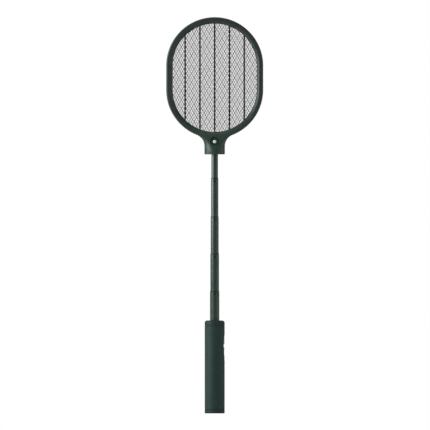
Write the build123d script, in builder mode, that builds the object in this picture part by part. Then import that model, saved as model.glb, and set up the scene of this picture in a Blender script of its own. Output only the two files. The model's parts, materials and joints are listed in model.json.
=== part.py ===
from build123d import *
import math
import os

# Electric fly swatter on a telescopic pole, in millimetres.
# The origin is the centre of the handle's bottom face. +Z runs up the pole, -Y is the front,
# and +X is the side that carries the switch and the button. The pole is drawn fully pulled out.

os.makedirs("parts", exist_ok=True)

# ---------------------------------------------------------------- driving dimensions
slip = 0.1                      # general gap between pieces that are only laid together

# handle
handle_r = 20.0
handle_wall = 2.0
cap_top = 8.0                   # seam between the bottom cap and the sleeve
sleeve_top = 175.0              # seam between the sleeve and the top collar
handle_top = 186.0
seam_chamfer = 0.5              # on both sides of a seam
bore_r = handle_r - handle_wall

# pole: five tubes, largest first, each sliding in the one around it
tube_wall = 0.5
tube_step = 0.68                # difference in radius between one tube and the next
largest_tube_r = 9.4
tube_tops = (245.0, 320.0, 394.0, 471.0, 538.0)
tube_seat = 156.0               # bottom of the largest tube, on a shelf inside the handle
lip_height = 3.2
lip_round = 0.55
roll_drop = 2.1                 # from a tube's top down to the foot of its rolled groove
roll_height = 1.2
roll_depth = 0.4
dimple_drop = 6.3
dimple_depth = 0.35
sleeve_length = 10.0
running_gap = 0.03
coil_r = 4.0
wire_r = 0.55
coil_turns = 3

# head: a ring whose outline is a rectangle closed by two half circles
head_r = 97.0
head_straight = 48.5            # distance between the centres of the two half circles
head_low_centre = 647.0
head_half_depth = 11.0
head_edge_round = 3.0
opening_r = 84.0
bevel_r = 88.8
bevel_depth = 4.5
pocket_r = 89.5
pocket_depth = 5.0
groove_inner_r = 90.7
groove_outer_r = 95.0
groove_depth = 9.0
rib_count = 5
rib_pitch = 29.55
rib_width = 3.2

# nets: fine ones on the outside, a coarse one of thicker wire in the middle. In each net one
# family of strands lies in front of the net's plane and the other behind it.
strand_angle = 60.0
strand_slack = 0.015            # gap between a strand and the net's plane
outer_net_r = pocket_r - 0.3
outer_net_y = 4.35
outer_strand_r = 0.29
outer_pitch = 4.4
outer_rim = 3.0
outer_rim_depth = 1.2
middle_net_r = 85.3             # just inside the spacers, so that its rim is out of sight
middle_strand_r = 0.44
middle_pitch = 8.8
middle_rim = 1.4
middle_rim_depth = 1.86
middle_phase = 0.025            # shifts of a weave, in pitches, that stagger the nets' strands
rear_phase = 0.36

# neck between the pole and the ring
neck_r = 20.5
neck_bottom = 518.0
neck_round_top = 528.0          # the neck is a plain cylinder up to here
neck_flare_start = 534.5
neck_flare_r = 24.0
neck_top = 557.0
neck_wall = 2.2

# lamp on the sloping front of the neck
lamp_z = 544.0
lamp_recess_r = 9.1
lamp_recess_depth = 2.2
lamp_pad_r = 10.5
lamp_pad_depth = 5.5
lens_r = 3.6

# screws
screw_head_r = 1.9
screw_head_height = 1.6
screw_shank_r = 1.0
pilot_r = 1.03
clearance_r = 1.2

# controls on the +X side of the handle
panel_low = 106.0
panel_high = 158.0
panel_width = 16.6
panel_back = 15.0
panel_r = handle_r - 0.3        # the panel lies a little below the grip around it
flat_x = 18.2                   # floor of the switch's flat
flat_low = 131.5
flat_high = 154.6
knob_low = 138.8
knob_high = 154.2
knob_width = 11.0
switch_travel = 6.0
button_z = 124.6
button_r = 5.75
button_face = 19.0
button_travel = 0.8
scoop_low = 113.8
scoop_high = 130.8
scoop_depth = 1.3
light_z = 110.0
light_r = 1.5

# electronics inside the handle
board_back = 8.4
board_front = 10.0
board_width = 26.0
board_top = 148.0
cell_r = 9.2
cell_length = 65.0
cell_x = -6.5
cell_bottom = 62.0

# ---------------------------------------------------------------- shared shapes
head_mid = head_low_centre + head_straight / 2
head_high_centre = head_low_centre + head_straight
head_plane = Plane(origin=(0, 0, head_mid), x_dir=(1, 0, 0), z_dir=(0, -1, 0))


def stadium(radius, mode=Mode.ADD):
    """The head's outline at a given end radius, in the current sketch."""
    SlotOverall(head_straight + 2 * radius, 2 * radius, rotation=90, mode=mode)


def ring_sketch(outer, inner):
    """A round annulus in the current sketch."""
    Circle(outer)
    Circle(inner, mode=Mode.SUBTRACT)


def neck_size(z):
    """Width, depth and corner radius of the neck's outside at height z."""
    blend = min(max((z - neck_round_top) / (neck_top - neck_round_top), 0), 1)
    flare = max(z - neck_flare_start, 0)
    half_width = neck_r + neck_flare_r - math.sqrt(neck_flare_r**2 - flare**2)
    depth = 2 * (neck_r + blend * (head_half_depth - neck_r))
    corner = (neck_r - 0.1) * (1 - blend) + 3.5 * blend
    return 2 * half_width, depth, corner


def neck_form(stations, shrink):
    """The neck, straight up to the first height and lofted through the rest, shrunk on all sides."""
    with BuildPart() as flare:
        for z in stations:
            width, depth, corner = neck_size(z)
            with BuildSketch(Plane.XY.offset(z)):
                RectangleRounded(width - 2 * shrink, depth - 2 * shrink, corner - shrink)
        loft()
        width, depth, corner = neck_size(neck_round_top)
        with BuildSketch(Plane.XY.offset(neck_round_top)):
            RectangleRounded(width - 2 * shrink, depth - 2 * shrink, corner - shrink)
        extrude(amount=neck_bottom - neck_round_top)
    return flare.part


# ---------------------------------------------------------------- screws, one form for each use
with BuildPart() as pan_screw:
    # head seated on the local XY plane, shank pointing down
    with BuildSketch():
        Circle(screw_head_r)
    extrude(amount=screw_head_height)
    fillet(pan_screw.edges().group_by(Axis.Z)[-1], 0.5)
    with BuildSketch(Plane.XY.offset(screw_head_height)):
        Rectangle(2.2, 0.55)
        Rectangle(0.55, 2.2)
    extrude(amount=-0.9, mode=Mode.SUBTRACT)
    with BuildSketch():
        Circle(screw_shank_r)
    extrude(amount=-14)
    chamfer(pan_screw.edges().group_by(Axis.Z)[0], 0.5)

with BuildPart() as short_screw:
    with BuildSketch():
        Circle(screw_head_r)
    extrude(amount=1)
    with BuildSketch(Plane.XY.offset(1)):
        Rectangle(2.2, 0.55)
        Rectangle(0.55, 2.2)
    extrude(amount=-0.6, mode=Mode.SUBTRACT)
    with BuildSketch():
        Circle(screw_shank_r)
    extrude(amount=-8)
    chamfer(short_screw.edges().group_by(Axis.Z)[0], 0.4)

# ---------------------------------------------------------------- handle shells
panel_mid = (panel_low + panel_high) / 2
panel_height = panel_high - panel_low
side_plane = Plane(origin=(0, 0, panel_mid), x_dir=(0, 1, 0), z_dir=(1, 0, 0))

with BuildPart() as handle_sleeve:
    with BuildSketch(Plane.XY.offset(cap_top)):
        ring_sketch(handle_r, bore_r)
    extrude(amount=sleeve_top - cap_top)
    chamfer(handle_sleeve.edges().filter_by(GeomType.CIRCLE).group_by(SortBy.RADIUS)[-1], seam_chamfer)
    with BuildSketch(side_plane):
        SlotOverall(panel_height + 0.4, panel_width + 0.4, rotation=90)
    extrude(amount=handle_r + 1, mode=Mode.SUBTRACT)
handle_sleeve.part.label = "handle_sleeve"
export_step(handle_sleeve.part, "parts/handle_sleeve.step")

with BuildPart() as top_collar:
    with BuildSketch(Plane.XY.offset(sleeve_top)):
        Circle(handle_r)
    extrude(amount=handle_top - sleeve_top)
    fillet(top_collar.edges().group_by(Axis.Z)[-1], 5)
    chamfer(top_collar.edges().group_by(Axis.Z)[0], seam_chamfer)
    with BuildSketch(Plane.XY.offset(sleeve_top)):
        Circle(bore_r - slip)
    extrude(amount=-5.5)
    with BuildSketch(Plane.XY.offset(sleeve_top - 6)):
        Circle(bore_r - slip - 3)
    extrude(amount=7, mode=Mode.SUBTRACT)
    with BuildSketch(Plane.XY.offset(handle_top)):
        Circle(largest_tube_r + running_gap)
    extrude(amount=-20, mode=Mode.SUBTRACT)
    chamfer(top_collar.edges().group_by(Axis.Z)[-1].sort_by(SortBy.RADIUS)[0], 0.6)
top_collar.part.label = "top_collar"
export_step(top_collar.part, "parts/top_collar.step")

cap_screw_places = ((-9, -9), (-9, 9))
socket_x = 11.7
with BuildPart() as bottom_cap:
    with BuildSketch():
        Circle(handle_r)
    extrude(amount=cap_top)
    fillet(bottom_cap.edges().group_by(Axis.Z)[0], 1.5)
    chamfer(bottom_cap.edges().group_by(Axis.Z)[-1], seam_chamfer)
    with BuildSketch(Plane.XY.offset(cap_top)):
        Circle(bore_r - slip)
    extrude(amount=5)
    with BuildSketch(Plane.XY.offset(handle_wall)):
        Circle(bore_r - 2)
    extrude(amount=cap_top + 5, mode=Mode.SUBTRACT)
    with BuildSketch():
        with Locations((socket_x, 0)):
            RectangleRounded(3.6, 9.3, 1.7)
        with Locations(*cap_screw_places):
            Circle(clearance_r)
    extrude(amount=handle_wall, mode=Mode.SUBTRACT)
    with BuildSketch():
        with Locations(*cap_screw_places):
            Circle(screw_head_r + 0.3)
    extrude(amount=1.2, mode=Mode.SUBTRACT)
bottom_cap.part.label = "bottom_cap"
export_step(bottom_cap.part, "parts/bottom_cap.step")

with BuildPart() as cap_screws:
    for x, y in cap_screw_places:
        with Locations(Plane(origin=(x, y, 1.2), z_dir=(0, 0, -1))):
            add(short_screw.part)
cap_screws.part.label = "cap_screws"
export_step(cap_screws.part, "parts/cap_screws.step")

# ---------------------------------------------------------------- chassis and pole anchor
bulkheads = (14, 59, 128, 146)
with BuildPart() as chassis:
    # D-shaped bulkheads, their flat side against the back of the circuit board
    for z in bulkheads:
        with BuildSketch(Plane.XY.offset(z)):
            Circle(bore_r - 0.25)
            with Locations((board_back + 10, 0)):
                Rectangle(20, 2 * bore_r, mode=Mode.SUBTRACT)
            with Locations((4, 0)):
                Circle(3, mode=Mode.SUBTRACT)
        extrude(amount=2)
    # two rails that tie the bulkheads together
    with BuildSketch(Plane.XY.offset(bulkheads[0])):
        with Locations((-2, -15.4), (-2, 15.4)):
            Rectangle(4, 3)
    extrude(amount=bulkheads[-1] + 2 - bulkheads[0])
    # posts for the cap's screws
    with BuildSketch(Plane.XY.offset(handle_wall + slip)):
        with Locations(*cap_screw_places):
            Circle(3)
    extrude(amount=bulkheads[0] - handle_wall - slip)
    with BuildSketch(Plane.XY.offset(handle_wall)):
        with Locations(*cap_screw_places):
            Circle(pilot_r)
    extrude(amount=9, mode=Mode.SUBTRACT)
chassis.part.label = "chassis"
export_step(chassis.part, "parts/chassis.step")

anchor_low = 152.5
anchor_high = 169.0
anchor_screw_x = 13.3
anchor_screw_z = 163.5
anchor_seat = 6.0               # depth of the anchor screw's head seat, measured from the split

with BuildPart() as anchor_block:
    with BuildSketch(Plane.XY.offset(anchor_low)):
        Circle(bore_r - 0.4)
    extrude(amount=anchor_high - anchor_low)
    # room for the top of the control panel
    with BuildSketch(Plane.XZ):
        with Locations((panel_back + 4.6, panel_high - 9.5)):
            Rectangle(10, 20)
    extrude(amount=bore_r, both=True, mode=Mode.SUBTRACT)
    with BuildSketch(Plane.XY.offset(tube_seat)):
        Circle(largest_tube_r + 0.02)
    extrude(amount=anchor_high - tube_seat, mode=Mode.SUBTRACT)
    with BuildSketch(Plane.XY.offset(anchor_low)):
        Circle(7)
    extrude(amount=tube_seat - anchor_low, mode=Mode.SUBTRACT)

with BuildPart() as pole_anchor_front:
    add(anchor_block.part)
    split(bisect_by=Plane.XZ.offset(0.05), keep=Keep.TOP)
    with BuildSketch(Plane.XZ):
        with Locations((-anchor_screw_x, anchor_screw_z), (anchor_screw_x, anchor_screw_z)):
            Circle(pilot_r)
    extrude(amount=5, mode=Mode.SUBTRACT)
pole_anchor_front.part.label = "pole_anchor_front"
export_step(pole_anchor_front.part, "parts/pole_anchor_front.step")

with BuildPart() as pole_anchor_rear:
    add(anchor_block.part)
    split(bisect_by=Plane.XZ.offset(-0.05), keep=Keep.BOTTOM)
    with BuildSketch(Plane.XZ):
        with Locations((-anchor_screw_x, anchor_screw_z), (anchor_screw_x, anchor_screw_z)):
            Circle(clearance_r)
    extrude(amount=-bore_r, mode=Mode.SUBTRACT)
    with BuildSketch(Plane.XZ.offset(-anchor_seat)):
        with Locations((-anchor_screw_x, anchor_screw_z), (anchor_screw_x, anchor_screw_z)):
            Circle(screw_head_r + 0.2)
    extrude(amount=-bore_r, mode=Mode.SUBTRACT)
pole_anchor_rear.part.label = "pole_anchor_rear"
export_step(pole_anchor_rear.part, "parts/pole_anchor_rear.step")

with BuildPart() as anchor_screws:
    for x in (-anchor_screw_x, anchor_screw_x):
        with Locations(Plane(origin=(x, anchor_seat, anchor_screw_z), z_dir=(0, 1, 0))):
            add(short_screw.part)
anchor_screws.part.label = "anchor_screws"
export_step(anchor_screws.part, "parts/anchor_screws.step")

# ---------------------------------------------------------------- circuit board and what sits on it
with BuildPart() as circuit_board:
    with BuildSketch(Plane.YZ.offset(board_back)):
        with Locations((0, (16 + board_top) / 2)):
            Rectangle(board_width, board_top - 16)
        with Locations((0, 10.5)):
            Rectangle(18, 14)
    extrude(amount=board_front - board_back)
circuit_board.part.label = "circuit_board"
export_step(circuit_board.part, "parts/circuit_board.step")

with BuildPart() as charge_socket:
    socket_width = 8.9
    socket_thick = 3.2
    socket_x_mid = board_front + socket_thick / 2
    with BuildSketch(Plane.XY.offset(0.5)):
        with Locations((socket_x_mid, 0)):
            RectangleRounded(socket_thick, socket_width, 1.5)
            RectangleRounded(socket_thick - 0.6, socket_width - 0.6, 1.2, mode=Mode.SUBTRACT)
            Rectangle(0.7, 6.5)
    extrude(amount=7)
    with BuildSketch(Plane.XY.offset(7)):
        with Locations((socket_x_mid, 0)):
            RectangleRounded(socket_thick, socket_width, 1.5)
    extrude(amount=1)
charge_socket.part.label = "charge_socket"
export_step(charge_socket.part, "parts/charge_socket.step")

core_z = 28.0
core_x = board_back - 7
with BuildPart() as transformer_core:
    with BuildSketch(Plane(origin=(core_x, 0, core_z), x_dir=(1, 0, 0), z_dir=(0, -1, 0))):
        Rectangle(14, 16)
        with Locations((-3.5, 0), (3.5, 0)):
            Rectangle(3, 10, mode=Mode.SUBTRACT)
    extrude(amount=4, both=True)
transformer_core.part.label = "transformer_core"
export_step(transformer_core.part, "parts/transformer_core.step")

with BuildPart() as transformer_winding:
    with BuildSketch(Plane.XY.offset(core_z - 4.8)):
        with Locations((core_x, 0)):
            RectangleRounded(9.7, 13.6, 2)
            Rectangle(4.2, 8.2, mode=Mode.SUBTRACT)
    extrude(amount=9.6)
transformer_winding.part.label = "transformer_winding"
export_step(transformer_winding.part, "parts/transformer_winding.step")

with BuildPart() as film_capacitors:
    with BuildSketch(Plane.YZ.offset(board_back - 6)):
        with Locations((0, 41.5), (0, 48.5), (0, 55.5)):
            RectangleRounded(12, 5, 0.8)
    extrude(amount=6)
film_capacitors.part.label = "film_capacitors"
export_step(film_capacitors.part, "parts/film_capacitors.step")

with BuildPart() as rectifier_diodes:
    with BuildSketch(Plane.XY.offset(70)):
        with Locations(*[(board_front + 1.3, 5 * row - 7.5) for row in range(4)]):
            Circle(1.3)
    extrude(amount=5)
rectifier_diodes.part.label = "rectifier_diodes"
export_step(rectifier_diodes.part, "parts/rectifier_diodes.step")

with BuildPart() as power_transistor:
    with BuildSketch(Plane.YZ.offset(board_front)):
        with Locations((0, 38)):
            Rectangle(8, 11)
        with Locations((0, 41)):
            Circle(1.6, mode=Mode.SUBTRACT)
    extrude(amount=3.2)
power_transistor.part.label = "power_transistor"
export_step(power_transistor.part, "parts/power_transistor.step")

with BuildPart() as battery_cell:
    with BuildSketch(Plane.XY.offset(cell_bottom)):
        with Locations((cell_x, 0)):
            Circle(cell_r)
    extrude(amount=cell_length)
    fillet(battery_cell.edges(), 0.8)
battery_cell.part.label = "battery_cell"
export_step(battery_cell.part, "parts/battery_cell.step")

with BuildPart() as battery_tabs:
    for z in (cell_bottom - 0.3, cell_bottom + cell_length):
        with BuildSketch(Plane.XY.offset(z)):
            with Locations((cell_x + 3, 0)):
                Rectangle(13, 6)
        extrude(amount=0.3)
battery_tabs.part.label = "battery_tabs"
export_step(battery_tabs.part, "parts/battery_tabs.step")

with BuildPart() as battery_leads:
    tab_end = cell_x + 3 + 6.5 + 0.6
    for z, turn in ((cell_bottom - 0.15, 9), (cell_bottom + cell_length + 0.15, -9)):
        with BuildLine():
            lead_run = Spline(
                (tab_end, 0, z),
                (board_back - 0.6, 0, z + turn),
                tangents=((1, 0, 0), (0, 0, turn)),
            )
        with BuildSketch(Plane(origin=lead_run @ 0, z_dir=lead_run % 0)):
            Circle(0.5)
        sweep(path=lead_run)
battery_leads.part.label = "battery_leads"
export_step(battery_leads.part, "parts/battery_leads.step")

with BuildPart() as supply_lead:
    with BuildLine():
        supply_run = Spline(
            (board_back - wire_r - slip, 0, 134),
            (coil_r, 0, 146),
            (coil_r, 0, tube_seat + 0.4),
            tangents=((0, 0, 1), (0, 0, 1)),
        )
    with BuildSketch(Plane(origin=supply_run @ 0, z_dir=supply_run % 0)):
        Circle(wire_r)
    sweep(path=supply_run)
supply_lead.part.label = "supply_lead"
export_step(supply_lead.part, "parts/supply_lead.step")

# ---------------------------------------------------------------- side panel and its controls
scoop_r = ((scoop_high - scoop_low) ** 2 / 4 + scoop_depth**2) / (2 * scoop_depth)
scoop_x = handle_r - scoop_depth + scoop_r
lever_z = 146.5
lever_length = 3.4
lever_width = 2.6

with BuildPart() as control_panel:
    with BuildSketch(Plane.XY.offset(panel_low)):
        Circle(panel_r)
        with Locations((panel_back - handle_r, 0)):
            Rectangle(2 * handle_r, 2 * handle_r, mode=Mode.SUBTRACT)
    extrude(amount=panel_height)
    with BuildSketch(side_plane):
        SlotOverall(panel_height, panel_width, rotation=90)
    extrude(amount=handle_r + 1, mode=Mode.INTERSECT)
    # full-width flat under the switch
    with BuildSketch(Plane.XZ):
        with Locations((flat_x + 5, (flat_low + flat_high) / 2)):
            Rectangle(10, flat_high - flat_low)
    extrude(amount=handle_r, both=True, mode=Mode.SUBTRACT)
    # full-width scoop around the button
    with BuildSketch(Plane.XZ):
        with Locations((scoop_x, (scoop_low + scoop_high) / 2)):
            Circle(scoop_r)
    extrude(amount=handle_r, both=True, mode=Mode.SUBTRACT)
    # slot for the lever, hole for the button and hole for the light pipe
    with BuildSketch(Plane.YZ.offset(panel_back)):
        with Locations((0, lever_z - switch_travel / 2)):
            Rectangle(lever_width + 0.3, lever_length + switch_travel + 0.4)
        with Locations((0, button_z)):
            Circle(button_r + 0.1)
        with Locations((0, light_z)):
            Circle(light_r + 0.05)
    extrude(amount=handle_r, mode=Mode.SUBTRACT)
control_panel.part.label = "control_panel"
export_step(control_panel.part, "parts/control_panel.step")

knob_mid = (knob_low + knob_high) / 2
with BuildPart() as slide_knob:
    with BuildSketch(Plane.XY.offset(knob_low)):
        Circle(panel_r)
        with Locations((flat_x + 0.05 - handle_r, 0)):
            Rectangle(2 * handle_r, 2 * handle_r, mode=Mode.SUBTRACT)
        Rectangle(2 * handle_r, knob_width, mode=Mode.INTERSECT)
    extrude(amount=knob_high - knob_low)
    # thumb grooves across the face
    with BuildSketch(Plane.XZ):
        with Locations(*[(panel_r, knob_mid + 2.4 * step) for step in (-2, -1, 0, 1, 2)]):
            Rectangle(1.2, 1)
    extrude(amount=handle_r, both=True, mode=Mode.SUBTRACT)
slide_knob.part.label = "slide_knob"
export_step(slide_knob.part, "parts/slide_knob.step")

lever_tip = 12.0
with BuildPart() as switch_lever:
    with BuildSketch(Plane.YZ.offset(lever_tip)):
        with Locations((0, lever_z)):
            Rectangle(lever_width, lever_length)
    extrude(amount=flat_x + 0.05 - lever_tip)
switch_lever.part.label = "switch_lever"
export_step(switch_lever.part, "parts/switch_lever.step")

with BuildPart() as switch_shutter:
    with BuildSketch(Plane.YZ.offset(14.1)):
        with Locations((0, 144.5)):
            Rectangle(8, 14)
        with Locations((0, lever_z)):
            Rectangle(lever_width, lever_length, mode=Mode.SUBTRACT)
    extrude(amount=0.7)
switch_shutter.part.label = "switch_shutter"
export_step(switch_shutter.part, "parts/switch_shutter.step")

with BuildPart() as slide_switch_body:
    with BuildSketch(Plane.YZ.offset(board_front)):
        with Locations((0, lever_z - switch_travel / 2)):
            Rectangle(7, 16)
    extrude(amount=3.4)
    with BuildSketch(Plane.YZ.offset(lever_tip - 0.3)):
        with Locations((0, lever_z - switch_travel / 2)):
            Rectangle(lever_width + 0.3, lever_length + switch_travel + 0.4)
    extrude(amount=3, mode=Mode.SUBTRACT)
slide_switch_body.part.label = "slide_switch_body"
export_step(slide_switch_body.part, "parts/slide_switch_body.step")

button_flange_back = 14.0
with BuildPart() as push_button:
    with BuildSketch(Plane.YZ.offset(button_flange_back)):
        with Locations((0, button_z)):
            Circle(button_r + 0.8)
    extrude(amount=0.8)
    with BuildSketch(Plane.YZ.offset(button_flange_back)):
        with Locations((0, button_z)):
            Circle(button_r)
    extrude(amount=button_face - button_flange_back)
    fillet(push_button.edges().group_by(Axis.X)[-1], 0.6)
push_button.part.label = "push_button"
export_step(push_button.part, "parts/push_button.step")

plunger_tip = 12.2
with BuildPart() as tact_plunger:
    with BuildSketch(Plane.YZ.offset(plunger_tip)):
        with Locations((0, button_z)):
            Circle(1.6)
    extrude(amount=button_flange_back - plunger_tip)
tact_plunger.part.label = "tact_plunger"
export_step(tact_plunger.part, "parts/tact_plunger.step")

with BuildPart() as tact_switch:
    with BuildSketch(Plane.YZ.offset(board_front)):
        with Locations((0, button_z)):
            RectangleRounded(6, 6, 0.5)
    extrude(amount=2.8)
    with BuildSketch(Plane.YZ.offset(plunger_tip - button_travel - 0.1)):
        with Locations((0, button_z)):
            Circle(1.7)
    extrude(amount=3, mode=Mode.SUBTRACT)
tact_switch.part.label = "tact_switch"
export_step(tact_switch.part, "parts/tact_switch.step")

with BuildPart() as status_led:
    with BuildSketch(Plane.YZ.offset(board_front)):
        with Locations((0, light_z)):
            Rectangle(2, 3)
    extrude(amount=1.2)
status_led.part.label = "status_led"
export_step(status_led.part, "parts/status_led.step")

with BuildPart() as light_pipe:
    with BuildSketch(Plane.YZ.offset(board_front + 1.3)):
        with Locations((0, light_z)):
            Circle(light_r)
    extrude(amount=handle_r)
    with BuildSketch(Plane.XY.offset(light_z - 5)):
        Circle(panel_r)
    extrude(amount=10, mode=Mode.INTERSECT)
light_pipe.part.label = "light_pipe"
export_step(light_pipe.part, "parts/light_pipe.step")


# ---------------------------------------------------------------- telescopic pole
def tube_r(number):
    """Outer radius of a tube. Number 0 is the largest, in the handle."""
    return largest_tube_r - tube_step * number


def tube_bottom(number):
    """Bottom of a tube: its friction sleeve stands just below the lip of the tube around it."""
    if number == 0:
        return tube_seat
    return tube_tops[number - 1] - lip_height - slip - sleeve_length


def pole_tube(number):
    """A thin tube with an inturned lip, a rolled groove and a locating dimple at its top."""
    outer = tube_r(number)
    top = tube_tops[number]
    low = tube_bottom(number)
    with BuildPart() as tube:
        with BuildSketch(Plane.XY.offset(low)):
            ring_sketch(outer, outer - tube_wall)
        extrude(amount=top - low)
        if number < len(tube_tops) - 1:
            with BuildSketch(Plane.XY.offset(top - lip_height)):
                ring_sketch(outer - tube_wall / 2, tube_r(number + 1) + 0.05)
            extrude(amount=lip_height)
            fillet(tube.edges().group_by(Axis.Z)[-1].sort_by(SortBy.RADIUS)[-1], lip_round)
            with BuildSketch(Plane.XY.offset(top - roll_drop)):
                ring_sketch(outer + 1, outer - roll_depth)
            extrude(amount=roll_height, mode=Mode.SUBTRACT)
            with BuildSketch(Plane.XZ.offset(outer - dimple_depth)):
                with Locations((0, top - dimple_drop)):
                    SlotOverall(4.2, 2.4, rotation=90)
            extrude(amount=2, mode=Mode.SUBTRACT)
    return tube


def friction_sleeve(number):
    """A split brass band around the bottom of a tube, riding in the bore of the tube around it."""
    with BuildPart() as band:
        with BuildSketch(Plane.XY.offset(tube_bottom(number))):
            ring_sketch(tube_r(number - 1) - tube_wall - running_gap, tube_r(number) + 0.01)
            with Locations((0, tube_r(number))):
                Rectangle(1, 2, mode=Mode.SUBTRACT)
        extrude(amount=sleeve_length)
    return band


def lead_coil(number):
    """The stretch of coiled lead between the bottom of a tube and the bottom of the next one."""
    low = tube_bottom(number) + 0.8
    if number < len(tube_tops) - 1:
        high = tube_bottom(number + 1) + 0.6
    else:
        high = tube_tops[number]
    height = high - low
    with BuildPart() as coil:
        with BuildLine():
            turns = Helix(height / coil_turns, height, coil_r, center=(0, 0, low))
        with BuildSketch(Plane(origin=turns @ 0, z_dir=turns % 0)):
            Circle(wire_r)
        sweep(path=turns)
    return coil


pole_tube_5 = pole_tube(0)
pole_tube_5.part.label = "pole_tube_5"
export_step(pole_tube_5.part, "parts/pole_tube_5.step")

pole_tube_4 = pole_tube(1)
pole_tube_4.part.label = "pole_tube_4"
export_step(pole_tube_4.part, "parts/pole_tube_4.step")

pole_tube_3 = pole_tube(2)
pole_tube_3.part.label = "pole_tube_3"
export_step(pole_tube_3.part, "parts/pole_tube_3.step")

pole_tube_2 = pole_tube(3)
pole_tube_2.part.label = "pole_tube_2"
export_step(pole_tube_2.part, "parts/pole_tube_2.step")

plain_tube = pole_tube(4)
pole_pin_z = 532.0
pole_pin_r = 1.5
with BuildPart() as pole_tube_1:
    add(plain_tube.part)
    with BuildSketch(Plane.YZ):
        with Locations((0, pole_pin_z)):
            Circle(pole_pin_r + 0.02)
    extrude(amount=10, both=True, mode=Mode.SUBTRACT)
pole_tube_1.part.label = "pole_tube_1"
export_step(pole_tube_1.part, "parts/pole_tube_1.step")

friction_sleeve_4 = friction_sleeve(1)
friction_sleeve_4.part.label = "friction_sleeve_4"
export_step(friction_sleeve_4.part, "parts/friction_sleeve_4.step")

friction_sleeve_3 = friction_sleeve(2)
friction_sleeve_3.part.label = "friction_sleeve_3"
export_step(friction_sleeve_3.part, "parts/friction_sleeve_3.step")

friction_sleeve_2 = friction_sleeve(3)
friction_sleeve_2.part.label = "friction_sleeve_2"
export_step(friction_sleeve_2.part, "parts/friction_sleeve_2.step")

friction_sleeve_1 = friction_sleeve(4)
friction_sleeve_1.part.label = "friction_sleeve_1"
export_step(friction_sleeve_1.part, "parts/friction_sleeve_1.step")

lead_coil_5 = lead_coil(0)
lead_coil_5.part.label = "lead_coil_5"
export_step(lead_coil_5.part, "parts/lead_coil_5.step")

lead_coil_4 = lead_coil(1)
lead_coil_4.part.label = "lead_coil_4"
export_step(lead_coil_4.part, "parts/lead_coil_4.step")

lead_coil_3 = lead_coil(2)
lead_coil_3.part.label = "lead_coil_3"
export_step(lead_coil_3.part, "parts/lead_coil_3.step")

lead_coil_2 = lead_coil(3)
lead_coil_2.part.label = "lead_coil_2"
export_step(lead_coil_2.part, "parts/lead_coil_2.step")

lead_coil_1 = lead_coil(4)
lead_coil_1.part.label = "lead_coil_1"
export_step(lead_coil_1.part, "parts/lead_coil_1.step")

# ---------------------------------------------------------------- head shells
boss_r = 2.6
neck_boss_r = 3.2
seat_depth = 2.0
seat_r = screw_head_r + 0.2
groove_mid_r = (groove_inner_r + groove_outer_r) / 2


def on_arc(centre_z, degrees):
    """A screw's place on the ring, in the head plane's own coordinates."""
    angle = math.radians(degrees)
    return (groove_mid_r * math.cos(angle), centre_z - head_mid + groove_mid_r * math.sin(angle))


ring_screws = [on_arc(head_high_centre, degrees) for degrees in (30, 90, 150)]
ring_screws += [on_arc(head_low_centre, degrees) for degrees in (-50, -18, 198, 230)]
ring_screws += [(-groove_mid_r, 0), (groove_mid_r, 0)]
neck_screws = [(-13, 545 - head_mid), (13, 545 - head_mid)]
all_screws = ring_screws + neck_screws

neck_outside = neck_form((neck_round_top, neck_flare_start, 541, 546, 550, 553.5, neck_top), 0)
neck_inside = neck_form((neck_round_top, neck_flare_start, 541, 546, 551), neck_wall)

with BuildPart() as head_blank:
    with BuildSketch(head_plane):
        stadium(head_r)
    extrude(amount=head_half_depth, both=True)
    front_edges = head_blank.edges().group_by(Axis.Y)[0]
    rear_edges = head_blank.edges().group_by(Axis.Y)[-1]
    fillet(front_edges + rear_edges, head_edge_round)
    # neck: a short round stretch, then a flare that flattens into the ring
    add(neck_outside)
    chamfer(head_blank.edges().group_by(Axis.Z)[0], 0.8)
    add(neck_inside, mode=Mode.SUBTRACT)
    # opening, bevelled on both faces
    with BuildSketch(head_plane):
        stadium(opening_r)
    extrude(amount=head_half_depth, both=True, mode=Mode.SUBTRACT)
    for side in (-1, 1):
        with BuildSketch(head_plane.offset(side * head_half_depth)):
            stadium(bevel_r)
        with BuildSketch(head_plane.offset(side * (head_half_depth - bevel_depth))):
            stadium(opening_r)
        loft(ruled=True, mode=Mode.SUBTRACT)
    # pocket for the nets and their spacers
    with BuildSketch(head_plane):
        stadium(pocket_r)
    extrude(amount=pocket_depth, both=True, mode=Mode.SUBTRACT)
    # weight-saving groove, interrupted at the screw bosses and at the neck
    with BuildSketch(head_plane):
        stadium(groove_outer_r)
        stadium(groove_inner_r, mode=Mode.SUBTRACT)
        with Locations((0, neck_top - head_mid)):
            Rectangle(76, 40, mode=Mode.SUBTRACT)
        with Locations(*ring_screws):
            Circle(boss_r, mode=Mode.SUBTRACT)
    extrude(amount=groove_depth, both=True, mode=Mode.SUBTRACT)
    # passage for the net leads
    with BuildSketch(Plane.XY.offset(549)):
        Rectangle(12, 2 * pocket_depth)
    extrude(amount=11, mode=Mode.SUBTRACT)
    # bosses inside the neck
    with BuildSketch(head_plane):
        with Locations(*neck_screws):
            Circle(neck_boss_r)
    extrude(amount=13, both=True)

lamp_half_depth = neck_size(lamp_z)[1] / 2
lamp_tilt = math.atan((neck_r - head_half_depth) / (neck_top - neck_round_top))
lamp_plane = Plane(
    origin=(0, -lamp_half_depth, lamp_z),
    x_dir=(1, 0, 0),
    z_dir=(0, -math.cos(lamp_tilt), math.sin(lamp_tilt)),
)

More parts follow.
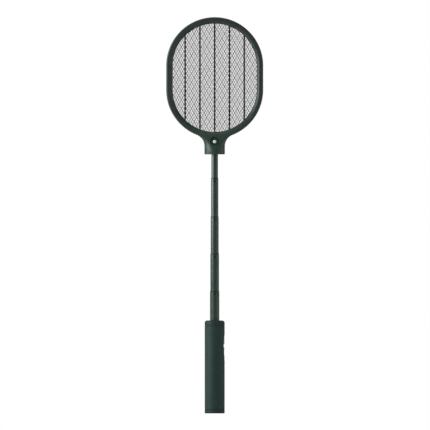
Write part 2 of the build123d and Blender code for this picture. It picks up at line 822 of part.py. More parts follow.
with BuildPart() as head_front_shell:
    add(head_blank.part)
    split(bisect_by=Plane.XZ.offset(0.02), keep=Keep.TOP)
    # pad behind the lamp, then its recess and through hole
    with BuildSketch(lamp_plane.offset(-lamp_pad_depth)):
        Circle(lamp_pad_r)
    extrude(amount=lamp_pad_depth - 0.6)
    with BuildSketch(lamp_plane.offset(-lamp_recess_depth)):
        Circle(lamp_recess_r)
    extrude(amount=12, mode=Mode.SUBTRACT)
    with BuildSketch(lamp_plane.offset(-lamp_pad_depth)):
        Circle(lens_r + 0.4)
    extrude(amount=lamp_pad_depth, mode=Mode.SUBTRACT)
    with BuildSketch(head_plane):
        with Locations(*all_screws):
            Circle(pilot_r)
    extrude(amount=6, mode=Mode.SUBTRACT)
head_front_shell.part.label = "head_front_shell"
export_step(head_front_shell.part, "parts/head_front_shell.step")

with BuildPart() as head_rear_shell:
    add(head_blank.part)
    split(bisect_by=Plane.XZ.offset(-0.02), keep=Keep.BOTTOM)
    with BuildSketch(head_plane):
        with Locations(*all_screws):
            Circle(clearance_r)
    extrude(amount=-neck_r, mode=Mode.SUBTRACT)
    with BuildSketch(head_plane.offset(seat_depth - head_half_depth)):
        with Locations(*all_screws):
            Circle(seat_r)
    extrude(amount=-neck_r, mode=Mode.SUBTRACT)
head_rear_shell.part.label = "head_rear_shell"
export_step(head_rear_shell.part, "parts/head_rear_shell.step")

with BuildPart() as head_screws:
    for x, z in all_screws:
        seat = Plane(
            origin=(x, head_half_depth - seat_depth, z + head_mid),
            x_dir=(1, 0, 0),
            z_dir=(0, 1, 0),
        )
        with Locations(seat):
            add(pan_screw.part)
head_screws.part.label = "head_screws"
export_step(head_screws.part, "parts/head_screws.step")

# ---------------------------------------------------------------- pole socket in the neck
socket_r = 8.6

with BuildPart() as pole_socket:
    with BuildSketch(Plane.XY.offset(neck_bottom + 0.3)):
        Circle(neck_r - neck_wall - 0.05)
    extrude(amount=5)
    with BuildSketch(Plane.XY.offset(neck_bottom + 0.3)):
        Circle(socket_r)
    extrude(amount=tube_tops[-1] - neck_bottom - 0.3)
    with BuildSketch(Plane.XY.offset(neck_bottom)):
        Circle(tube_r(4) + 0.03)
    extrude(amount=30, mode=Mode.SUBTRACT)
    with BuildSketch(Plane.YZ):
        with Locations((0, pole_pin_z)):
            Circle(pole_pin_r + 0.02)
    extrude(amount=10, both=True, mode=Mode.SUBTRACT)
pole_socket.part.label = "pole_socket"
export_step(pole_socket.part, "parts/pole_socket.step")

with BuildPart() as pole_pins:
    # two short pins, one on each side, so that the lead can pass between them
    with BuildSketch(Plane.YZ.offset(tube_r(4) - tube_wall)):
        with Locations((0, pole_pin_z)):
            Circle(pole_pin_r)
    extrude(amount=socket_r - tube_r(4) + tube_wall)
    mirror(about=Plane.YZ)
pole_pins.part.label = "pole_pins"
export_step(pole_pins.part, "parts/pole_pins.step")

# ---------------------------------------------------------------- lamp
with BuildPart() as lamp_bezel:
    with BuildSketch(lamp_plane.offset(-lamp_recess_depth)):
        ring_sketch(lamp_recess_r - 0.1, lens_r + 0.1)
    extrude(amount=1)
lamp_bezel.part.label = "lamp_bezel"
export_step(lamp_bezel.part, "parts/lamp_bezel.step")

with BuildPart() as lamp_lens:
    with BuildSketch(lamp_plane.offset(-lamp_pad_depth + 0.1)):
        Circle(lens_r + 0.3)
    extrude(amount=1.4)
    with BuildSketch(lamp_plane.offset(-lamp_pad_depth + 0.1)):
        Circle(lens_r)
    extrude(amount=lamp_pad_depth + 0.3)
    fillet(lamp_lens.edges().group_by(Axis.Y)[0].sort_by(Axis.Z)[0], 2.2)
    with BuildSketch(lamp_plane.offset(-lamp_pad_depth + 0.1)):
        Circle(lens_r - 0.8)
    extrude(amount=3, mode=Mode.SUBTRACT)
lamp_lens.part.label = "lamp_lens"
export_step(lamp_lens.part, "parts/lamp_lens.step")

with BuildPart() as lamp_board:
    with BuildSketch(lamp_plane.offset(-lamp_pad_depth - 0.05)):
        Circle(7.5)
    extrude(amount=-1.2)
lamp_board.part.label = "lamp_board"
export_step(lamp_board.part, "parts/lamp_board.step")

with BuildPart() as lamp_led:
    with BuildSketch(lamp_plane.offset(-lamp_pad_depth - 0.05)):
        Circle(2.4)
    extrude(amount=2.2)
    fillet(lamp_led.edges().group_by(Axis.Y)[0].sort_by(Axis.Z)[0], 1.2)
lamp_led.part.label = "lamp_led"
export_step(lamp_led.part, "parts/lamp_led.step")


# ---------------------------------------------------------------- nets and spacers
def strand_family(slope, y, reach, pitch, strand_r, phase):
    """Parallel round strands at one angle, trimmed to the head's outline at a given radius."""
    along = Vector(math.cos(math.radians(slope)), 0, math.sin(math.radians(slope)))
    count = 2 * math.ceil(head_r / pitch * 1.4) + 1
    with BuildPart() as strands:
        with BuildSketch(Plane(origin=(0, y, head_mid), x_dir=(0, 1, 0), z_dir=along)):
            with Locations((0, phase * pitch)):
                with GridLocations(1, pitch, 1, count):
                    Circle(strand_r)
        extrude(amount=2 * head_r, both=True)
        with BuildSketch(head_plane.offset(-y)):
            stadium(reach)
        extrude(amount=2, both=True, mode=Mode.INTERSECT)
    return strands.part


def net(y, outer, rim, depth, strand_r, pitch, phase):
    """Two crossing families of strands held in a thin rim. The phase, in pitches, shifts the weave."""
    reach = outer - rim / 2
    lift = strand_r + strand_slack
    rising = strand_family(strand_angle, y - lift, reach, pitch, strand_r, phase)
    falling = strand_family(-strand_angle, y + lift, reach, pitch, strand_r, -phase)
    with BuildPart() as mesh:
        with BuildSketch(head_plane.offset(-y)):
            stadium(outer)
            stadium(outer - rim, mode=Mode.SUBTRACT)
        extrude(amount=depth / 2, both=True)
        add(rising)
        add(falling)
    return mesh


def outer_net(y, phase):
    """One of the two nets that keep fingers out."""
    return net(y, outer_net_r, outer_rim, outer_rim_depth, outer_strand_r, outer_pitch, phase)


front_net = outer_net(-outer_net_y, 0)
front_net.part.label = "front_net"
export_step(front_net.part, "parts/front_net.step")

high_voltage_net = net(
    0, middle_net_r, middle_rim, middle_rim_depth, middle_strand_r, middle_pitch, middle_phase
)
high_voltage_net.part.label = "high_voltage_net"
export_step(high_voltage_net.part, "parts/high_voltage_net.step")

rear_net = outer_net(outer_net_y, rear_phase)
rear_net.part.label = "rear_net"
export_step(rear_net.part, "parts/rear_net.step")

spacer_near = middle_rim_depth / 2 + 0.05
spacer_far = outer_net_y - outer_rim_depth / 2 - 0.05
rib_places = [rib_pitch * (number - (rib_count - 1) / 2) for number in range(rib_count)]

with BuildPart() as front_spacer:
    with BuildSketch(head_plane.offset(spacer_near)):
        for x in rib_places:
            with Locations((x, 0)):
                Rectangle(rib_width, 3 * head_r)
        stadium(pocket_r - 1, mode=Mode.INTERSECT)
    extrude(amount=spacer_far - spacer_near)
    with BuildSketch(head_plane.offset(spacer_near)):
        stadium(pocket_r - 0.2)
        stadium(opening_r + 1.5, mode=Mode.SUBTRACT)
    extrude(amount=spacer_far - spacer_near)
front_spacer.part.label = "front_spacer"
export_step(front_spacer.part, "parts/front_spacer.step")

with BuildPart() as rear_spacer:
    add(front_spacer.part)
    mirror(about=Plane.XZ, mode=Mode.REPLACE)
rear_spacer.part.label = "rear_spacer"
export_step(rear_spacer.part, "parts/rear_spacer.step")

with BuildPart() as net_leads:
    # one lead to the middle net and one to each outer net
    lead_r = 0.4
    side_y = outer_net_y - 0.25
    outer_top = head_low_centre - outer_net_r - slip
    middle_top = head_low_centre - middle_net_r
    for x, y, top in ((0, 0, middle_top), (-3.6, -side_y, outer_top), (3.6, side_y, outer_top)):
        with BuildLine():
            net_run = Spline(
                (x / 2, y / 3, tube_tops[-1] + 3),
                (x, y, 549),
                (x, y, top),
                tangents=((0, 0, 1), (0, 0, 1)),
            )
        with BuildSketch(Plane(origin=net_run @ 0, z_dir=net_run % 0)):
            Circle(lead_r)
        sweep(path=net_run)
net_leads.part.label = "net_leads"
export_step(net_leads.part, "parts/net_leads.step")
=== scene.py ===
import json
import math
from collections import namedtuple

import bpy
import numpy as np
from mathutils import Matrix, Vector

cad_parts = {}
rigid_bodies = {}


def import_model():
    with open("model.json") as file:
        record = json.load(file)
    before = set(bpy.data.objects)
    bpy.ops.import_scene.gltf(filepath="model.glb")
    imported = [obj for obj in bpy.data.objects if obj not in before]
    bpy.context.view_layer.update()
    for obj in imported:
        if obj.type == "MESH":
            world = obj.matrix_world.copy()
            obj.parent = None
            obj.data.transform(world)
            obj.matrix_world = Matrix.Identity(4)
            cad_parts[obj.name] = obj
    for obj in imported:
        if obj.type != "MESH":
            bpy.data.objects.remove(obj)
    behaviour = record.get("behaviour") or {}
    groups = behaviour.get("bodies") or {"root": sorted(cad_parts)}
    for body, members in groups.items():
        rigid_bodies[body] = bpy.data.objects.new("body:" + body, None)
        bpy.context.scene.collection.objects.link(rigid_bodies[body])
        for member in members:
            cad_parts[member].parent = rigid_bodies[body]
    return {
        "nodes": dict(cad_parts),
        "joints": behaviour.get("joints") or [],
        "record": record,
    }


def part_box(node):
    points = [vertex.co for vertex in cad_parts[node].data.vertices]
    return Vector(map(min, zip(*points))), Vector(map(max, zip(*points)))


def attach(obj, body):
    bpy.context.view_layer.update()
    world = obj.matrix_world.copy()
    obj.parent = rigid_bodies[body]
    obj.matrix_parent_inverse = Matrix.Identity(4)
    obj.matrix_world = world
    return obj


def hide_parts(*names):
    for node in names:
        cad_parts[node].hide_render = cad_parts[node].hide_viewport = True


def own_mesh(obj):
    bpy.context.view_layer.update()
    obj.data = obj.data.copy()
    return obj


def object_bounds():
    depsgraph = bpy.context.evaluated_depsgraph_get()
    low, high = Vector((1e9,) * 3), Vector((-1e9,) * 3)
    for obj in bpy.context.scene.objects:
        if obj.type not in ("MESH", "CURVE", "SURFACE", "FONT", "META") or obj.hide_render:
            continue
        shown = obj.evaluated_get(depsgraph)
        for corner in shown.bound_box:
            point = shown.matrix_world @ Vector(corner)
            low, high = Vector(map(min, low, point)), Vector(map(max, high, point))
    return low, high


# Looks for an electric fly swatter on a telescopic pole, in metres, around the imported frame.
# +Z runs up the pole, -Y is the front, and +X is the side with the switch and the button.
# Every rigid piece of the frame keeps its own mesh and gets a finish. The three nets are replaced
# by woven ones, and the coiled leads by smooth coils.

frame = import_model()
cad_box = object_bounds()
nodes = frame["nodes"]
scene = bpy.context.scene
MM = 0.001

# ---------------------------------------------------------------- sizes, from the frame
front_low, front_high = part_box("front_net")
middle_low, middle_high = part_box("high_voltage_net")
rear_low, rear_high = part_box("rear_net")
object_top = cad_box[1][2]
HEAD_STRAIGHT = (front_high[2] - front_low[2]) - (front_high[0] - front_low[0])
HEAD_MID_Z = (front_low[2] + front_high[2]) / 2
OUTER_NET_R = (front_high[0] - front_low[0]) / 2
MIDDLE_NET_R = (middle_high[0] - middle_low[0]) / 2
FRONT_NET_Y = (front_low[1] + front_high[1]) / 2
REAR_NET_Y = (rear_low[1] + rear_high[1]) / 2

# the neck's colour gives way to the ring's over this height
NECK_LENGTH = 34 * MM
NECK_BLEND = 40 * MM
NECK_TOP_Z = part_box("head_front_shell")[0][2] + NECK_LENGTH

# nets: a strand rises and falls by its lift as it passes over and under the others
NetForm = namedtuple("NetForm", "strand_r lift pitch rim_width rim_half_depth")
OUTER_NET = NetForm(0.29 * MM, 0.305 * MM, 4.4 * MM, 3.0 * MM, 0.6 * MM)
MIDDLE_NET = NetForm(0.44 * MM, 0.455 * MM, 8.8 * MM, 1.4 * MM, 0.93 * MM)
STRAND_ANGLE = 60.0
STRAND_SIDES = 6
STEPS_PER_PITCH = 3.4
STRAND_OVERRUN = 1.6            # a strand's half length before trimming, in end radii
RIM_ROUND = 0.3 * MM
NET_SHARP_ANGLE = 50
# how far each weave is shifted, in pitches
FRONT_PHASE = 0.0
MIDDLE_PHASE = 0.025
REAR_PHASE = 0.36


# ---------------------------------------------------------------- materials
# near-black colour of the painted shade that darkens seams, corners and recesses
PAINTED_SHADE_COLOUR = (0.002, 0.002, 0.002, 1)
# near-black colour of the painted shadow in the grooves at the tubes' mouths
PAINTED_GROOVE_SHADOW = (0.001, 0.002, 0.001, 1)


class Nodes:
    """A short way to build a material's node tree."""

    def __init__(self, name):
        self.material = bpy.data.materials.new(name)
        self.material.use_nodes = True
        self.tree = self.material.node_tree
        self.shader = self.tree.nodes["Principled BSDF"]
        self.place = self.add("ShaderNodeTexCoord").outputs["Object"]

    def add(self, kind, **settings):
        node = self.tree.nodes.new(kind)
        for key, value in settings.items():
            setattr(node, key, value)
        return node

    def link(self, source, target):
        self.tree.links.new(source, target)

    def set(self, **values):
        """Sets the shader's inputs; an underscore in a name stands for a space."""
        for key, value in values.items():
            self.shader.inputs[key.replace("_", " ")].default_value = value

    def noise(self, scale, detail=2.0, stretch=(1, 1, 1)):
        """Noise in the object's own place. Scale is in cells per metre."""
        mapping = self.add("ShaderNodeMapping")
        mapping.inputs["Scale"].default_value = stretch
        self.link(self.place, mapping.inputs["Vector"])
        texture = self.add("ShaderNodeTexNoise")
        texture.inputs["Scale"].default_value = scale
        texture.inputs["Detail"].default_value = detail
        self.link(mapping.outputs["Vector"], texture.inputs["Vector"])
        return texture.outputs["Fac"]

    def spread(self, value, low, high, from_low=0.3, from_high=0.7):
        """Maps a noise value to a range."""
        node = self.add("ShaderNodeMapRange")
        node.inputs["From Min"].default_value = from_low
        node.inputs["From Max"].default_value = from_high
        node.inputs["To Min"].default_value = low
        node.inputs["To Max"].default_value = high
        self.link(value, node.inputs["Value"])
        return node.outputs["Result"]

    def mix(self, factor, first, second):
        """A colour between two colours; each may be a value or a socket."""
        node = self.add("ShaderNodeMix", data_type="RGBA")
        slots = [s for s in node.inputs if s.name in ("Factor", "A", "B") and s.enabled]
        for socket, value in zip(slots, (factor, first, second)):
            if isinstance(value, bpy.types.NodeSocket):
                self.link(value, socket)
            else:
                socket.default_value = value
        return [s for s in node.outputs if s.enabled][0]

    def paint_shade(self, colour, reach):
        """Paints shade into a colour: darkens it in seams and corners closer together than the reach, in
        metres.
        """
        node = self.add("ShaderNodeAmbientOcclusion", samples=6)
        node.inputs["Distance"].default_value = reach
        closeness = self.spread(node.outputs["AO"], 1, 0, 0.45, 0.96)
        return self.mix(closeness, colour, PAINTED_SHADE_COLOUR)

    def recess(self, shallow, deep):
        """0 on a tube's outside and 1 in its grooves; the object carries its own outer radius."""
        flat = self.add("ShaderNodeVectorMath", operation="MULTIPLY")
        flat.inputs[1].default_value = (1, 1, 0)
        self.link(self.place, flat.inputs[0])
        reach = self.add("ShaderNodeVectorMath", operation="LENGTH")
        self.link(flat.outputs["Vector"], reach.inputs[0])
        outside = self.add("ShaderNodeAttribute", attribute_type="OBJECT", attribute_name="outer_radius")
        depth = self.add("ShaderNodeMath", operation="SUBTRACT")
        self.link(outside.outputs["Fac"], depth.inputs[0])
        self.link(reach.outputs["Value"], depth.inputs[1])
        return self.spread(depth.outputs["Value"], 0, 1, shallow, deep)

    def mottle(self, pattern, colour, darkest, lightest):
        """The colour made darker and lighter, by these factors, over a noise pattern."""
        return self.mix(self.spread(pattern, 0, 1), shade(colour, darkest), shade(colour, lightest))

    def colour(self, source):
        """Sets the shader's colour."""
        self.link(source, self.shader.inputs["Base Color"])

    def roughness(self, pattern, smoothest, roughest):
        """Varies the shader's roughness over a noise pattern."""
        self.link(self.spread(pattern, smoothest, roughest), self.shader.inputs["Roughness"])

    def bump(self, heights):
        """Adds up bumps, each given as (height socket, strength, distance in metres)."""
        normal = None
        for height, strength, distance in heights:
            node = self.add("ShaderNodeBump")
            node.inputs["Strength"].default_value = strength
            node.inputs["Distance"].default_value = distance
            self.link(height, node.inputs["Height"])
            if normal is not None:
                self.link(normal, node.inputs["Normal"])
            normal = node.outputs["Normal"]
        self.link(normal, self.shader.inputs["Normal"])


def shade(colour, factor):
    """An RGBA colour made lighter or darker."""
    return tuple(min(c * factor, 1) for c in colour[:3]) + (1,)


def moulded_plastic(
    name, colour, roughness, grain=2200, grain_depth=0.35, wear=0.35, shine=0.5, shade_reach=0.004, foot=None
):
    """Moulded plastic: spark-eroded grain, slight mottling, polished edges, and painted shade in seams
    and corners.

    A foot colour, where given, takes over at the neck, below the head's ring.
    """
    m = Nodes(name)
    cloud = m.noise(38, 3)
    base = m.mottle(cloud, colour, 0.88, 1.14)
    if foot is not None:
        split = m.add("ShaderNodeSeparateXYZ")
        m.link(m.place, split.inputs[0])
        above = m.spread(split.outputs["Z"], 0, 1, NECK_TOP_Z, NECK_TOP_Z + NECK_BLEND)
        base = m.mix(above, m.mottle(cloud, foot, 0.88, 1.14), base)
    edge = m.add("ShaderNodeNewGeometry").outputs["Pointiness"]
    worn = m.mix(m.spread(edge, 0, wear, 0.53, 0.62), base, shade(colour, 2.1))
    # painted shade: the colour darkens in seams and corners closer together than the given reach
    m.colour(m.paint_shade(worn, shade_reach))
    m.roughness(m.noise(14, 4), roughness - 0.07, roughness + 0.07)
    m.set(Specular_IOR_Level=shine, Specular_Tint=(0.93, 1, 0.96, 1))
    m.bump([
        (m.noise(grain, 2), grain_depth, 0.00006),
        (m.noise(120, 2), 0.08, 0.0002),
    ])
    return m.material


def painted_tube(name, colour, roughness):
    """Satin paint on thin tube, with fine rub marks along the direction it slides."""
    m = Nodes(name)
    rubs = m.noise(60, 3, (14, 14, 0.6))
    base = m.mottle(m.noise(25, 3), colour, 0.9, 1.12)
    rubbed = m.mix(m.spread(rubs, 0, 0.12, 0.55, 0.75), base, shade(colour, 2.0))
    # painted shadow: the grooves are coloured near black, and the paint also gets painted shade within 2
    # mm of corners
    hollow = m.recess(0.08 * MM, 0.3 * MM)
    m.colour(m.mix(hollow, m.paint_shade(rubbed, 2 * MM), PAINTED_GROOVE_SHADOW))
    m.roughness(rubs, roughness - 0.05, roughness + 0.08)
    m.link(m.spread(hollow, 0.5, 0.1, 0, 1), m.shader.inputs["Specular IOR Level"])
    m.link(m.spread(hollow, 0.4, 0, 0, 1), m.shader.inputs["Coat Weight"])
    m.set(Metallic=0.2, Coat_Roughness=0.15)
    m.bump([(rubs, 0.05, 0.00003), (m.noise(900, 2), 0.05, 0.00002)])
    return m.material


def bare_metal(name, colour, roughness):
    """Bare metal with drawn or rolled marks and a little dulling."""
    m = Nodes(name)
    marks = m.noise(900, 3)
    m.colour(m.mottle(m.noise(45, 3), colour, 0.8, 1.1))
    m.roughness(marks, roughness - 0.08, roughness + 0.12)
    m.set(Metallic=1.0)
    m.bump([(marks, 0.15, 0.00003)])
    return m.material


def clear_plastic(name, colour):
    """Milky translucent plastic with a fine diffusing texture."""
    m = Nodes(name)
    m.colour(m.mottle(m.noise(300, 2), colour, 0.95, 1.04))
    m.set(Roughness=0.3, Subsurface_Weight=0.1, Subsurface_Scale=0.002, Coat_Weight=0.3)
    m.bump([(m.noise(1600, 2), 0.12, 0.00003)])
    return m.material


def glossy_coat(name, colour, roughness=0.25):
    """A smooth dipped or wrapped surface with small waves."""
    m = Nodes(name)
    wave = m.noise(220, 3)
    m.colour(m.mottle(wave, colour, 0.85, 1.12))
    m.roughness(wave, roughness - 0.05, roughness + 0.1)
    m.bump([(wave, 0.2, 0.0001)])
    return m.material


def soft_jacket(name, colour):
    """The soft jacket of a lead."""
    m = Nodes(name)
    grain = m.noise(1400, 3)
    m.colour(m.mottle(grain, colour, 0.85, 1.2))
    m.set(Roughness=0.55, Sheen_Weight=0.1)
    m.bump([(grain, 0.2, 0.00005)])
    return m.material


SLOT_MATERIALS = {
    "handle_plastic": moulded_plastic("handle_plastic", (0.013, 0.032, 0.0285, 1), 0.52, shine=0.30),
    "panel_plastic": moulded_plastic("panel_plastic", (0.006, 0.009, 0.009, 1), 0.45, shine=0.25),
    "head_plastic": moulded_plastic(
        "head_plastic", (0.0235, 0.033, 0.0275, 1), 0.40, shade_reach=0.0012, foot=(0.0200, 0.042, 0.0305, 1)
    ),
    "socket_plastic": moulded_plastic("socket_plastic", (0.009, 0.021, 0.017, 1), 0.42, shade_reach=0.006),
    "black_plastic": moulded_plastic("black_plastic", (0.009, 0.010, 0.010, 1), 0.40, 2600, 0.3),
    "inner_plastic": moulded_plastic("inner_plastic", (0.012, 0.012, 0.012, 1), 0.5),
    "ferrite": moulded_plastic("ferrite", (0.02, 0.02, 0.021, 1), 0.7, 3000, 0.6),
    "component_black": moulded_plastic("component_black", (0.012, 0.012, 0.013, 1), 0.5, 3000, 0.3),
    "pole_paint": painted_tube("pole_paint", (0.020, 0.044, 0.030, 1), 0.26),
    "brass": bare_metal("brass", (0.78, 0.56, 0.24, 1), 0.3),
    "nickel": bare_metal("nickel", (0.66, 0.63, 0.57, 1), 0.35),
    "net_steel": bare_metal("net_steel", (0.14, 0.14, 0.137, 1), 0.34),
    "screw_steel": bare_metal("screw_steel", (0.58, 0.57, 0.55, 1), 0.3),
    "board_green": glossy_coat("board_green", (0.012, 0.10, 0.035, 1)),
    "cell_wrap": glossy_coat("cell_wrap", (0.03, 0.09, 0.30, 1)),
    "winding_tape": glossy_coat("winding_tape", (0.75, 0.48, 0.05, 1), 0.35),
    "capacitor_red": glossy_coat("capacitor_red", (0.42, 0.05, 0.03, 1), 0.2),
    "lens_white": clear_plastic("lens_white", (0.72, 0.84, 0.78, 1)),
    "lead_rubber": soft_jacket("lead_rubber", (0.012, 0.012, 0.012, 1)),
}


def smooth(obj, degrees, rounding=0):
    """Joins a mesh's loose corners, rounds its sharp edges if asked, and shades it smooth."""
    weld = obj.modifiers.new("weld", "WELD")
    weld.merge_threshold = 0.002 * MM
    if rounding:
        rounded = obj.modifiers.new("rounded_edges", "BEVEL")
        rounded.width = rounding
        rounded.segments = 2
        rounded.limit_method = "ANGLE"
        rounded.angle_limit = math.radians(ROUNDED_ANGLE)
    obj.data.polygons.foreach_set("use_smooth", [True] * len(obj.data.polygons))
    split = obj.modifiers.new("sharp_edges", "EDGE_SPLIT")
    split.split_angle = math.radians(degrees)


SMOOTH_ANGLE = 28               # an edge that turns more than this, in degrees, stays sharp
ROUNDED_ANGLE = 40              # and on the pieces below, one that turns more than this is rounded
ROUNDED_EDGES = {
    "slide_knob": 0.25 * MM,
    "control_panel": 0.2 * MM,
    "head_front_shell": 0.25 * MM,
    "head_rear_shell": 0.25 * MM,
    "lamp_bezel": 0.15 * MM,
    "top_collar": 0.1 * MM,
}

for part in frame["record"]["subparts"]:
    cad_node = nodes[part["node"]]
    cad_node.data.materials.clear()
    cad_node.data.materials.append(SLOT_MATERIALS[part["material_slot"]])
    if cad_node.data.has_custom_normals:
        bpy.context.view_layer.objects.active = cad_node
        bpy.ops.mesh.customdata_custom_splitnormals_clear()
    smooth(cad_node, SMOOTH_ANGLE, ROUNDED_EDGES.get(part["node"], 0))
    low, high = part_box(part["node"])
    cad_node["outer_radius"] = (high[0] - low[0]) / 2


# ---------------------------------------------------------------- mesh helpers
def new_piece(name, points, faces, slot, body, degrees=40):
    """A mesh piece with a material slot's finish, riding on a body."""
    mesh = bpy.data.meshes.new(name)
    mesh.from_pydata([tuple(p) for p in points], [], [tuple(f) for f in faces])
    mesh.update()
    obj = bpy.data.objects.new(name, mesh)
    scene.collection.objects.link(obj)
    mesh.materials.append(SLOT_MATERIALS[slot])
    mesh.polygons.foreach_set("use_smooth", [True] * len(mesh.polygons))
    mesh.set_sharp_from_angle(angle=math.radians(degrees))
    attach(obj, body)
    return obj


def tube_faces(rings, sides, first, closed=False):
    """Quads between rings of corners, and flat ends unless the tube closes on itself."""
    faces = []
    steps = rings if closed else rings - 1
    for ring in range(steps):
        low = first + ring * sides
        high = first + ((ring + 1) % rings) * sides
        for side in range(sides):
            after = (side + 1) % sides
            faces.append((low + side, low + after, high + after, high + side))
    if not closed:
        last = first + (rings - 1) * sides
        faces.append(tuple(first + side for side in reversed(range(sides))))
        faces.append(tuple(last + side for side in range(sides)))
    return faces


def stadium_loop(radius, arc_steps=64):
    """Points round the head's outline at an end radius, with the outward direction at each."""
    points = []
    outward = []
    for centre, start in ((HEAD_STRAIGHT / 2, 0.0), (-HEAD_STRAIGHT / 2, math.pi)):
        for step in range(arc_steps + 1):
            angle = start + math.pi * step / arc_steps
            direction = (math.cos(angle), math.sin(angle))
            points.append((radius * direction[0], centre + radius * direction[1]))
            outward.append(direction)
    return points, outward


# ---------------------------------------------------------------- nets
def strands(family, y, reach, form, phase):
    """The woven strands of one family, 1 rising and -1 falling: each one's corners and ring count."""
    slope = math.radians(STRAND_ANGLE * family)
    along = np.array((math.cos(slope), math.sin(slope)))
    across = np.array((-math.sin(slope), math.cos(slope))) * family
    other = np.array((math.sin(slope), math.cos(slope))) * family
    turn = np.arange(STRAND_SIDES) * 2 * math.pi / STRAND_SIDES
    sideways = form.strand_r * np.cos(turn)
    outward = form.strand_r * np.sin(turn)
    count = int(2 * reach / form.pitch)
    travel = np.arange(-STRAND_OVERRUN * reach, STRAND_OVERRUN * reach, form.pitch / STEPS_PER_PITCH)
    for number in range(-count, count + 1):
        line = np.outer(travel, along) + across * (number + phase) * form.pitch
        # trimmed to the head's outline
        past_straight = np.maximum(np.abs(line[:, 1]) - HEAD_STRAIGHT / 2, 0)
        line = line[line[:, 0] ** 2 + past_straight**2 < reach**2]
        if len(line) < 3:
            continue
        # over one crossing strand and under the next
        crossing = line @ other / form.pitch - phase
        depth = y + family * form.lift * np.cos(math.pi * (number + crossing))
        corners = np.empty((len(line), STRAND_SIDES, 3))
        corners[:, :, 0] = line[:, 0:1] + sideways * across[0]
        corners[:, :, 1] = depth[:, None] + outward
        corners[:, :, 2] = HEAD_MID_Z + line[:, 1:2] + sideways * across[1]
        yield corners.reshape(-1, 3), len(line)


def rim_section(form):
    """Corners of a net's rim in section, across and along Y: a flat band with rounded edges."""
    flat_x = form.rim_width / 2 - RIM_ROUND
    flat_y = form.rim_half_depth - RIM_ROUND
    section = []
    for corner_x, corner_y, turn in ((1, 1, 0), (-1, 1, 90), (-1, -1, 180), (1, -1, 270)):
        for step in (0, 45, 90):
            angle = math.radians(turn + step)
            section.append((
                corner_x * flat_x + RIM_ROUND * math.cos(angle),
                corner_y * flat_y + RIM_ROUND * math.sin(angle),
            ))
    return section


def woven_net(name, node, y, radius, form, phase):
    """A woven wire net in a thin pressed rim, in the place of a plain net of the frame."""
    points = []
    faces = []
    rim_middle = radius - form.rim_width / 2
    for family in (1, -1):
        for corners, rings in strands(family, y, rim_middle, form, phase):
            faces.extend(tube_faces(rings, STRAND_SIDES, len(points)))
            points.extend(corners.tolist())
    section = rim_section(form)
    loop, outward = stadium_loop(rim_middle)
    faces.extend(tube_faces(len(loop), len(section), len(points), closed=True))
    for (x, z), (out_x, out_z) in zip(loop, outward):
        for reach, depth in section:
            points.append((x + reach * out_x, y + depth, HEAD_MID_Z + z + reach * out_z))
    net = new_piece(name, points, faces, "net_steel", "head", NET_SHARP_ANGLE)
    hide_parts(node)


woven_net("front_net_woven", "front_net", FRONT_NET_Y, OUTER_NET_R, OUTER_NET, FRONT_PHASE)
woven_net("high_voltage_net_woven", "high_voltage_net", 0.0, MIDDLE_NET_R, MIDDLE_NET, MIDDLE_PHASE)
woven_net("rear_net_woven", "rear_net", REAR_NET_Y, OUTER_NET_R, OUTER_NET, REAR_PHASE)


# ---------------------------------------------------------------- coiled lead
COIL_R = 4.0 * MM
COIL_WIRE_R = 0.55 * MM
COIL_TURNS = 3
COIL_STEPS = 40                 # rings to a turn
COIL_SIDES = 10


def coil(name, node, body):
    """A smooth helix in the place of a frame coil."""
    low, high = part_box(node)
    start = low[2] + COIL_WIRE_R
    rise = high[2] - low[2] - 2 * COIL_WIRE_R
    rings = COIL_TURNS * COIL_STEPS + 1
    up = Vector((0, 0, 1))
    points = []
    for ring in range(rings):
        share = ring / (rings - 1)
        turn = 2 * math.pi * COIL_TURNS * share
        out = Vector((math.cos(turn), math.sin(turn), 0))
        centre = COIL_R * out + Vector((0, 0, start + rise * share))
        for side in range(COIL_SIDES):
            angle = 2 * math.pi * side / COIL_SIDES
            points.append(centre + COIL_WIRE_R * (math.cos(angle) * out + math.sin(angle) * up))
    piece = new_piece(name, points, tube_faces(rings, COIL_SIDES, 0), "lead_rubber", body)
    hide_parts(node)
    return piece


# each stretch of the lead that a joint carries becomes a smooth coil with its own mesh, riding on the
# joint's parent
for joint in frame["joints"]:
    for entry in joint.get("deforming_nodes", []):
        node = entry["node"]
        piece = coil(node + "_wound", node, joint["parent"])
        low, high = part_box(node)
        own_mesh(piece)
# the last stretch keeps its length, inside the tube that is fixed to the head
coil("lead_coil_1_wound", "lead_coil_1", "head")


# ---------------------------------------------------------------- floor, light and camera
LIGHT_COLOUR = (0.95, 1.0, 0.975)
AMBIENT_COLOUR = (0.95, 0.98, 1, 1)
AMBIENT_STRENGTH = 0.26
FLOOR_HALF = 3.0
FLOOR_DROP = 0.2 * MM           # below the object, so that the two don't share a plane
FLOOR_GLOW = 0.3
WHITE = (1, 1, 1, 1)
VIEW_HEIGHT = 0.860
CAMERA_PLACE = (0.0006, -2.5, 0.3968)


def area_light(name, place, target, width, height, power):
    light = bpy.data.lights.new(name, "AREA")
    light.shape = "RECTANGLE"
    light.size = width
    light.size_y = height
    light.energy = power
    light.color = LIGHT_COLOUR
    obj = bpy.data.objects.new(name, light)
    obj.location = place
    obj.rotation_euler = (Vector(target) - Vector(place)).to_track_quat("-Z", "Y").to_euler()
    scene.collection.objects.link(obj)


floor_corners = [(x * FLOOR_HALF, y * FLOOR_HALF, 0) for x, y in ((-1, -1), (1, -1), (1, 1), (-1, 1))]
floor_mesh = bpy.data.meshes.new("floor")
floor_mesh.from_pydata(floor_corners, [], [(0, 1, 2, 3)])
floor = bpy.data.objects.new("floor", floor_mesh)
floor.location.z = cad_box[0][2] - FLOOR_DROP
scene.collection.objects.link(floor)
floor_paint = Nodes("floor_paint")
floor_cloud = floor_paint.spread(floor_paint.noise(3), 0, 1)
floor_paint.colour(floor_paint.mix(floor_cloud, (0.80, 0.80, 0.79, 1), (0.84, 0.84, 0.83, 1)))
floor_paint.set(Roughness=0.8)
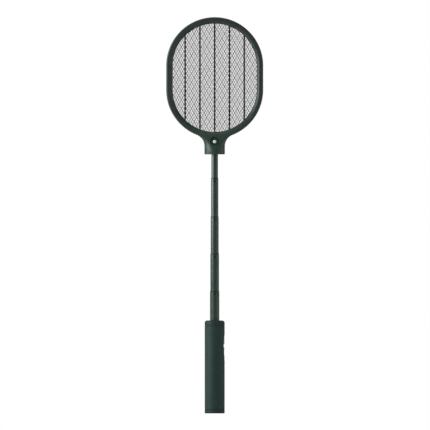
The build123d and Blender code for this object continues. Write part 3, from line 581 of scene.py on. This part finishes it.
# the floor is lifted towards white where the camera sees it, without lighting the object
floor_glow = floor_paint.add("ShaderNodeMath", operation="MULTIPLY")
floor_glow.inputs[1].default_value = FLOOR_GLOW
floor_paint.link(floor_paint.add("ShaderNodeLightPath").outputs["Is Camera Ray"], floor_glow.inputs[0])
floor_paint.link(floor_glow.outputs["Value"], floor_paint.shader.inputs["Emission Strength"])
floor_paint.set(Emission_Color=WHITE)
floor_mesh.materials.append(floor_paint.material)

# size, then power in watts; the strips draw the narrow highlights down the tubes and the neck
middle = (0, 0, object_top / 2)
area_light("key_left", (-1.5, -0.4, 0.85), (0, 0, 0.6), 1.5, 1.0, 26)
area_light("strip_left", (-1.1, -1.1, 0.7), middle, 0.14, 1.3, 2.4)
area_light("fill_right", (1.5, -0.1, 0.6), middle, 0.40, 1.4, 3.0)
area_light("strip_right", (1.15, -0.96, 0.6), middle, 0.10, 1.3, 1.0)
area_light("top", (0, -0.5, 2.0), (0, 0, 0.6), 1.2, 1.0, 4)
area_light("back", (0.3, 1.8, 0.9), middle, 1.6, 1.6, 6)

# the camera sees a white background, and the object is lit by a dimmer one
world = bpy.data.worlds.new("studio")
scene.world = world
world.use_nodes = True
world_tree = world.node_tree
world_tree.nodes.clear()
output = world_tree.nodes.new("ShaderNodeOutputWorld")
choose = world_tree.nodes.new("ShaderNodeMixShader")
path = world_tree.nodes.new("ShaderNodeLightPath")
seen = world_tree.nodes.new("ShaderNodeBackground")
seen.inputs["Color"].default_value = WHITE
seen.inputs["Strength"].default_value = 1.0
ambient = world_tree.nodes.new("ShaderNodeBackground")
ambient.inputs["Color"].default_value = AMBIENT_COLOUR
ambient.inputs["Strength"].default_value = AMBIENT_STRENGTH
world_tree.links.new(path.outputs["Is Camera Ray"], choose.inputs["Fac"])
world_tree.links.new(ambient.outputs["Background"], choose.inputs[1])
world_tree.links.new(seen.outputs["Background"], choose.inputs[2])
world_tree.links.new(choose.outputs["Shader"], output.inputs["Surface"])

scene.view_settings.view_transform = "Standard"

camera_data = bpy.data.cameras.new("camera")
camera_data.type = "ORTHO"
camera_data.ortho_scale = VIEW_HEIGHT
camera = bpy.data.objects.new("camera", camera_data)
camera.location = CAMERA_PLACE
camera.rotation_euler = (math.radians(90), 0, 0)
scene.collection.objects.link(camera)
scene.camera = camera
